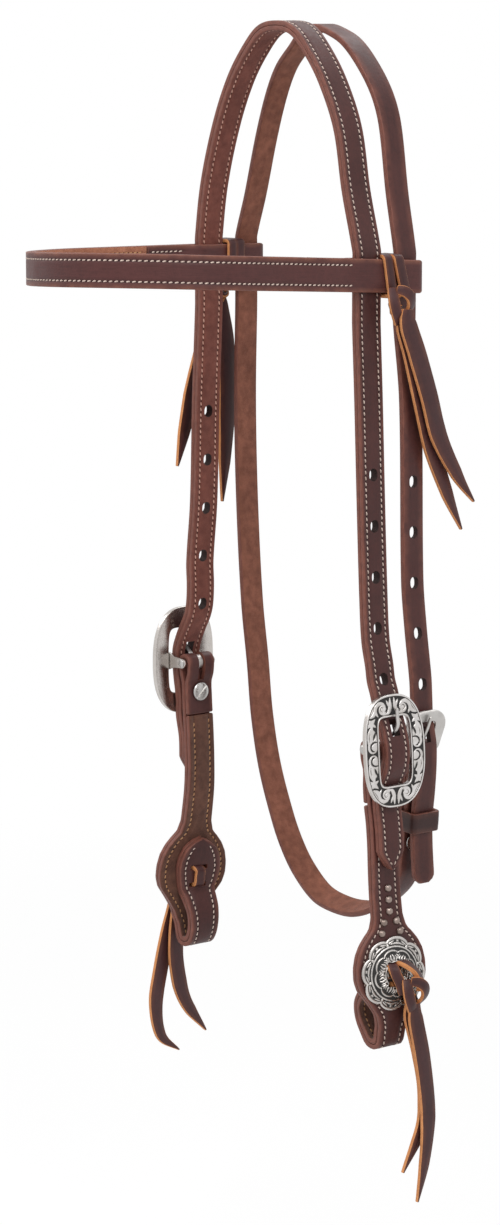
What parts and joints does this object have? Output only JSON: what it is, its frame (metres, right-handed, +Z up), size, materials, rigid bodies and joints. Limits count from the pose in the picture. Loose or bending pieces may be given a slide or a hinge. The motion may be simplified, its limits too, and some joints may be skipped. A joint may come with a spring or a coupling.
{
  "type": "western headstall",
  "caption": "Western browband headstall: crown strap on two engraved buckles, cheek pieces with conchos and bit loops, browband, throatlatch and tied leather thongs.",
  "frame": {"origin": "underside of the crown strap at the poll, in the plane of the crown strap", "axes": "+Z up, +X towards the near side (the horse's left), -Y towards the horse's nose; hung as worn with the crown strap slipped towards the near side"},
  "size_m": [0.1837, 0.1983, 0.57],
  "materials": {
    "grain_leather": "dark red-brown grain, semi-matt, cream stitching",
    "flesh_leather": "rough flesh side",
    "suede_lining": "dark suede lining",
    "thong_leather": "dark grain with raw orange-tan cut edges",
    "engraved_silver": "antique silver, scrollwork with blackened ground",
    "brushed_silver": "brushed satin",
    "steel": "polished steel",
    "aged_nickel": "aged nickel spots"
  },
  "bodies": {
    "crown": {"crown_strap": "grain_leather", "crown_lining": "flesh_leather", "throatlatch": "grain_leather", "throat_post": "steel", "throat_screw": "steel", "throat_buckle_frame": "brushed_silver", "near_buckle_frame": "engraved_silver", "near_buckle_bar": "steel", "far_buckle_frame": "engraved_silver", "far_buckle_bar": "steel"},
    "browband": {"browband": "grain_leather", "browband_lining": "flesh_leather", "near_brow_tie": "thong_leather", "far_brow_tie": "thong_leather"},
    "keeper": {"throat_keeper": "grain_leather"},
    "throat_tongue": {"throat_buckle_tongue": "brushed_silver"},
    "near_cheek": {"near_cheek": "grain_leather", "near_cheek_lining": "suede_lining", "near_cheek_post": "steel", "near_cheek_screw": "steel", "near_concho": "engraved_silver", "near_concho_tie": "thong_leather", "near_spot_1": "aged_nickel", "near_spot_2": "aged_nickel", "near_spot_3": "aged_nickel", "near_spot_4": "aged_nickel", "near_spot_5": "aged_nickel", "near_spot_6": "aged_nickel", "near_spot_7": "aged_nickel"},
    "near_tongue": {"near_buckle_tongue": "brushed_silver"},
    "near_concho_tail_front": {"near_concho_tail_front": "thong_leather"},
    "near_concho_tail_rear": {"near_concho_tail_rear": "thong_leather"},
    "near_brow_tail_front": {"near_brow_tail_front": "thong_leather"},
    "near_brow_tail_rear": {"near_brow_tail_rear": "thong_leather"},
    "far_cheek": {"far_cheek": "grain_leather", "far_cheek_lining": "suede_lining", "far_cheek_post": "steel", "far_cheek_screw": "steel", "far_concho": "engraved_silver", "far_concho_tie": "thong_leather", "far_spot_1": "aged_nickel", "far_spot_2": "aged_nickel", "far_spot_3": "aged_nickel", "far_spot_4": "aged_nickel", "far_spot_5": "aged_nickel", "far_spot_6": "aged_nickel", "far_spot_7": "aged_nickel"},
    "far_tongue": {"far_buckle_tongue": "brushed_silver"},
    "far_concho_tail_front": {"far_concho_tail_front": "thong_leather"},
    "far_concho_tail_rear": {"far_concho_tail_rear": "thong_leather"},
    "far_brow_tail_front": {"far_brow_tail_front": "thong_leather"},
    "far_brow_tail_rear": {"far_brow_tail_rear": "thong_leather"}
  },
  "joints": [
    {"name": "browband_slide", "type": "slide", "parent": "crown", "child": "browband", "axis": [0, 0, 1], "range_m": [-0.012, 0.003]},
    {"name": "keeper_slide", "type": "slide", "parent": "crown", "child": "keeper", "axis": [0.0872, 0, 0.9962], "range_m": [0, 0.008]},
    {"name": "throat_tongue_hinge", "type": "hinge", "parent": "crown", "child": "throat_tongue", "pos_m": [0.0683, 0.0265, -0.346], "axis": [0, 1, 0], "range_deg": [0, 7]},
    {"name": "near_cheek_hinge", "type": "hinge", "parent": "crown", "child": "near_cheek", "pos_m": [0.0708, 0, -0.3408], "axis": [0, 1, 0], "range_deg": [0, 15]},
    {"name": "near_tongue_hinge", "type": "hinge", "parent": "crown", "child": "near_tongue", "pos_m": [0.0708, 0, -0.3408], "axis": [0, 1, 0], "range_deg": [0, 8]},
    {"name": "near_concho_tail_front_swing", "type": "hinge", "parent": "near_cheek", "child": "near_concho_tail_front", "pos_m": [0.08986, 0.00765, -0.4707], "axis": [1, 0, 0], "range_deg": [-8, 8]},
    {"name": "near_concho_tail_rear_swing", "type": "hinge", "parent": "near_cheek", "child": "near_concho_tail_rear", "pos_m": [0.08662, 0.00765, -0.4707], "axis": [1, 0, 0], "range_deg": [-8, 8]},
    {"name": "near_brow_tail_front_swing", "type": "hinge", "parent": "browband", "child": "near_brow_tail_front", "pos_m": [0.07335, 0.01425, -0.13604], "axis": [1, 0, 0], "range_deg": [-8, 8]},
    {"name": "near_brow_tail_rear_swing", "type": "hinge", "parent": "browband", "child": "near_brow_tail_rear", "pos_m": [0.07083, 0.01425, -0.13604], "axis": [1, 0, 0], "range_deg": [-8, 8]},
    {"name": "far_cheek_hinge", "type": "hinge", "parent": "crown", "child": "far_cheek", "pos_m": [-0.0708, 0, -0.3183], "axis": [0, -1, 0], "range_deg": [0, 15]},
    {"name": "far_tongue_hinge", "type": "hinge", "parent": "crown", "child": "far_tongue", "pos_m": [-0.0708, 0, -0.3183], "axis": [0, -1, 0], "range_deg": [0, 8]},
    {"name": "far_concho_tail_front_swing", "type": "hinge", "parent": "far_cheek", "child": "far_concho_tail_front", "pos_m": [-0.0894, 0.00005, -0.44757], "axis": [1, 0, 0], "range_deg": [-8, 8]},
    {"name": "far_concho_tail_rear_swing", "type": "hinge", "parent": "far_cheek", "child": "far_concho_tail_rear", "pos_m": [-0.08616, 0.00005, -0.44757], "axis": [1, 0, 0], "range_deg": [-8, 8]},
    {"name": "far_brow_tail_front_swing", "type": "hinge", "parent": "browband", "child": "far_brow_tail_front", "pos_m": [-0.07335, 0.01425, -0.13419], "axis": [1, 0, 0], "range_deg": [-8, 8]},
    {"name": "far_brow_tail_rear_swing", "type": "hinge", "parent": "browband", "child": "far_brow_tail_rear", "pos_m": [-0.07083, 0.01425, -0.13419], "axis": [1, 0, 0], "range_deg": [-8, 8]}
  ]
}
